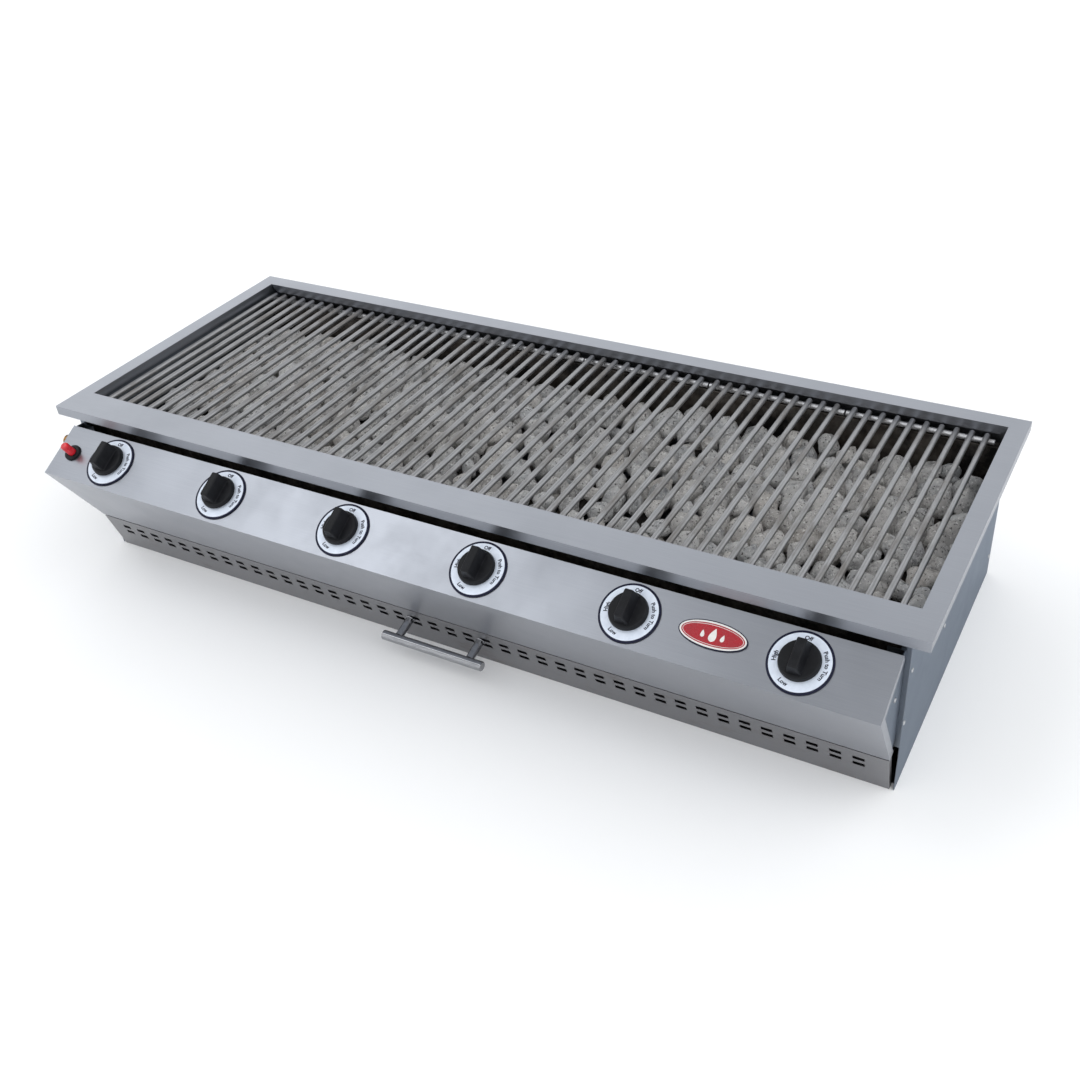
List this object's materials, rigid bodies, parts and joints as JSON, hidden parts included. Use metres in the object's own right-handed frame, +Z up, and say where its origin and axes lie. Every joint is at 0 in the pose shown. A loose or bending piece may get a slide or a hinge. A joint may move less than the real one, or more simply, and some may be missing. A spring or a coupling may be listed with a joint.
{
  "type": "gas charbroiler grill",
  "caption": "Drop-in gas charbroiler with rod cooking grates over a lava rock bed, a sloped control panel with push-and-turn knobs and a slide-out drip tray.",
  "frame": {"origin": "middle of the outline at the level of the side panels' bottom flanges, which is the grill's lowest plane", "axes": "+X along the grill to the right of a person at the knobs, +Y from the control panel to the back, +Z up"},
  "size_m": [1.3, 0.558, 0.252],
  "materials": {
    "stainless_casing": "satin",
    "heat_darkened_steel": "matte",
    "grate_rod": "satin",
    "polished_steel": "gloss",
    "plated_pipe": "satin",
    "brass_fittings": "satin",
    "black_plastic": "satin",
    "igniter_red": "gloss",
    "dial_enamel": "satin",
    "badge_enamel": "gloss",
    "lava_rock": "matte"
  },
  "bodies": {
    "casing": {"top_frame": "stainless_casing", "left_side_panel": "stainless_casing", "right_side_panel": "stainless_casing", "back_panel": "stainless_casing", "firebox_front_panel": "heat_darkened_steel", "front_firebox_liner": "heat_darkened_steel", "rear_firebox_liner": "heat_darkened_steel", "control_panel": "stainless_casing", "left_panel_bracket": "stainless_casing", "right_panel_bracket": "stainless_casing", "left_tray_runner": "stainless_casing", "right_tray_runner": "stainless_casing", "gas_manifold": "plated_pipe", "gas_inlet_fitting": "brass_fittings", "igniter_body": "black_plastic", "rock_grate": "heat_darkened_steel", "lava_rock_bed": "lava_rock", "badge": "badge_enamel", "burner_1": "heat_darkened_steel", "gas_valve_1": "brass_fittings", "dial_plate_1": "dial_enamel", "burner_2": "heat_darkened_steel", "gas_valve_2": "brass_fittings", "dial_plate_2": "dial_enamel", "burner_3": "heat_darkened_steel", "gas_valve_3": "brass_fittings", "dial_plate_3": "dial_enamel", "burner_4": "heat_darkened_steel", "gas_valve_4": "brass_fittings", "dial_plate_4": "dial_enamel", "burner_5": "heat_darkened_steel", "gas_valve_5": "brass_fittings", "dial_plate_5": "dial_enamel", "burner_6": "heat_darkened_steel", "gas_valve_6": "brass_fittings", "dial_plate_6": "dial_enamel"},
    "drip_tray_unit": {"drip_tray": "stainless_casing", "drip_tray_front": "stainless_casing", "tray_handle_bar": "polished_steel", "tray_handle_post_left": "polished_steel", "tray_handle_post_right": "polished_steel"},
    "igniter_button": {"igniter_button": "igniter_red"},
    "valve_stem_1": {"valve_stem_1": "plated_pipe"},
    "control_knob_1": {"control_knob_1": "black_plastic"},
    "cooking_grate_1": {"cooking_grate_1": "grate_rod"},
    "valve_stem_2": {"valve_stem_2": "plated_pipe"},
    "control_knob_2": {"control_knob_2": "black_plastic"},
    "cooking_grate_2": {"cooking_grate_2": "grate_rod"},
    "valve_stem_3": {"valve_stem_3": "plated_pipe"},
    "control_knob_3": {"control_knob_3": "black_plastic"},
    "cooking_grate_3": {"cooking_grate_3": "grate_rod"},
    "valve_stem_4": {"valve_stem_4": "plated_pipe"},
    "control_knob_4": {"control_knob_4": "black_plastic"},
    "cooking_grate_4": {"cooking_grate_4": "grate_rod"},
    "valve_stem_5": {"valve_stem_5": "plated_pipe"},
    "control_knob_5": {"control_knob_5": "black_plastic"},
    "cooking_grate_5": {"cooking_grate_5": "grate_rod"},
    "valve_stem_6": {"valve_stem_6": "plated_pipe"},
    "control_knob_6": {"control_knob_6": "black_plastic"},
    "cooking_grate_6": {"cooking_grate_6": "grate_rod"}
  },
  "joints": [
    {"name": "drip_tray_slide", "type": "slide", "parent": "casing", "child": "drip_tray_unit", "axis": [0, -1, 0], "range_m": [0, 0.36]},
    {"name": "igniter_press", "type": "slide", "parent": "casing", "child": "igniter_button", "axis": [0, 0.4726, -0.8813], "range_m": [0, 0.004], "stiffness_N_per_m": 600, "springref_m": -0.003},
    {"name": "knob_1_push", "type": "slide", "parent": "casing", "child": "valve_stem_1", "axis": [0, 0.4726, -0.8813], "range_m": [0, 0.003], "stiffness_N_per_m": 500, "springref_m": -0.004},
    {"name": "knob_1_turn", "type": "hinge", "parent": "valve_stem_1", "child": "control_knob_1", "pos_m": [-0.52, -0.24183, 0.206], "axis": [0, -0.4726, 0.8813], "range_deg": [0, 160]},
    {"name": "knob_2_push", "type": "slide", "parent": "casing", "child": "valve_stem_2", "axis": [0, 0.4726, -0.8813], "range_m": [0, 0.003], "stiffness_N_per_m": 500, "springref_m": -0.004},
    {"name": "knob_2_turn", "type": "hinge", "parent": "valve_stem_2", "child": "control_knob_2", "pos_m": [-0.312, -0.24183, 0.206], "axis": [0, -0.4726, 0.8813], "range_deg": [0, 160]},
    {"name": "knob_3_push", "type": "slide", "parent": "casing", "child": "valve_stem_3", "axis": [0, 0.4726, -0.8813], "range_m": [0, 0.003], "stiffness_N_per_m": 500, "springref_m": -0.004},
    {"name": "knob_3_turn", "type": "hinge", "parent": "valve_stem_3", "child": "control_knob_3", "pos_m": [-0.104, -0.24183, 0.206], "axis": [0, -0.4726, 0.8813], "range_deg": [0, 160]},
    {"name": "knob_4_push", "type": "slide", "parent": "casing", "child": "valve_stem_4", "axis": [0, 0.4726, -0.8813], "range_m": [0, 0.003], "stiffness_N_per_m": 500, "springref_m": -0.004},
    {"name": "knob_4_turn", "type": "hinge", "parent": "valve_stem_4", "child": "control_knob_4", "pos_m": [0.104, -0.24183, 0.206], "axis": [0, -0.4726, 0.8813], "range_deg": [0, 160]},
    {"name": "knob_5_push", "type": "slide", "parent": "casing", "child": "valve_stem_5", "axis": [0, 0.4726, -0.8813], "range_m": [0, 0.003], "stiffness_N_per_m": 500, "springref_m": -0.004},
    {"name": "knob_5_turn", "type": "hinge", "parent": "valve_stem_5", "child": "control_knob_5", "pos_m": [0.312, -0.24183, 0.206], "axis": [0, -0.4726, 0.8813], "range_deg": [0, 160]},
    {"name": "knob_6_push", "type": "slide", "parent": "casing", "child": "valve_stem_6", "axis": [0, 0.4726, -0.8813], "range_m": [0, 0.003], "stiffness_N_per_m": 500, "springref_m": -0.004},
    {"name": "knob_6_turn", "type": "hinge", "parent": "valve_stem_6", "child": "control_knob_6", "pos_m": [0.52, -0.24183, 0.206], "axis": [0, -0.4726, 0.8813], "range_deg": [0, 160]},
    {"name": "grate_1_lift", "type": "slide", "parent": "casing", "child": "cooking_grate_1", "axis": [0, 0, 1], "range_m": [0, 0.12]},
    {"name": "grate_2_lift", "type": "slide", "parent": "casing", "child": "cooking_grate_2", "axis": [0, 0, 1], "range_m": [0, 0.12]},
    {"name": "grate_3_lift", "type": "slide", "parent": "casing", "child": "cooking_grate_3", "axis": [0, 0, 1], "range_m": [0, 0.12]},
    {"name": "grate_4_lift", "type": "slide", "parent": "casing", "child": "cooking_grate_4", "axis": [0, 0, 1], "range_m": [0, 0.12]},
    {"name": "grate_5_lift", "type": "slide", "parent": "casing", "child": "cooking_grate_5", "axis": [0, 0, 1], "range_m": [0, 0.12]},
    {"name": "grate_6_lift", "type": "slide", "parent": "casing", "child": "cooking_grate_6", "axis": [0, 0, 1], "range_m": [0, 0.12]}
  ]
}
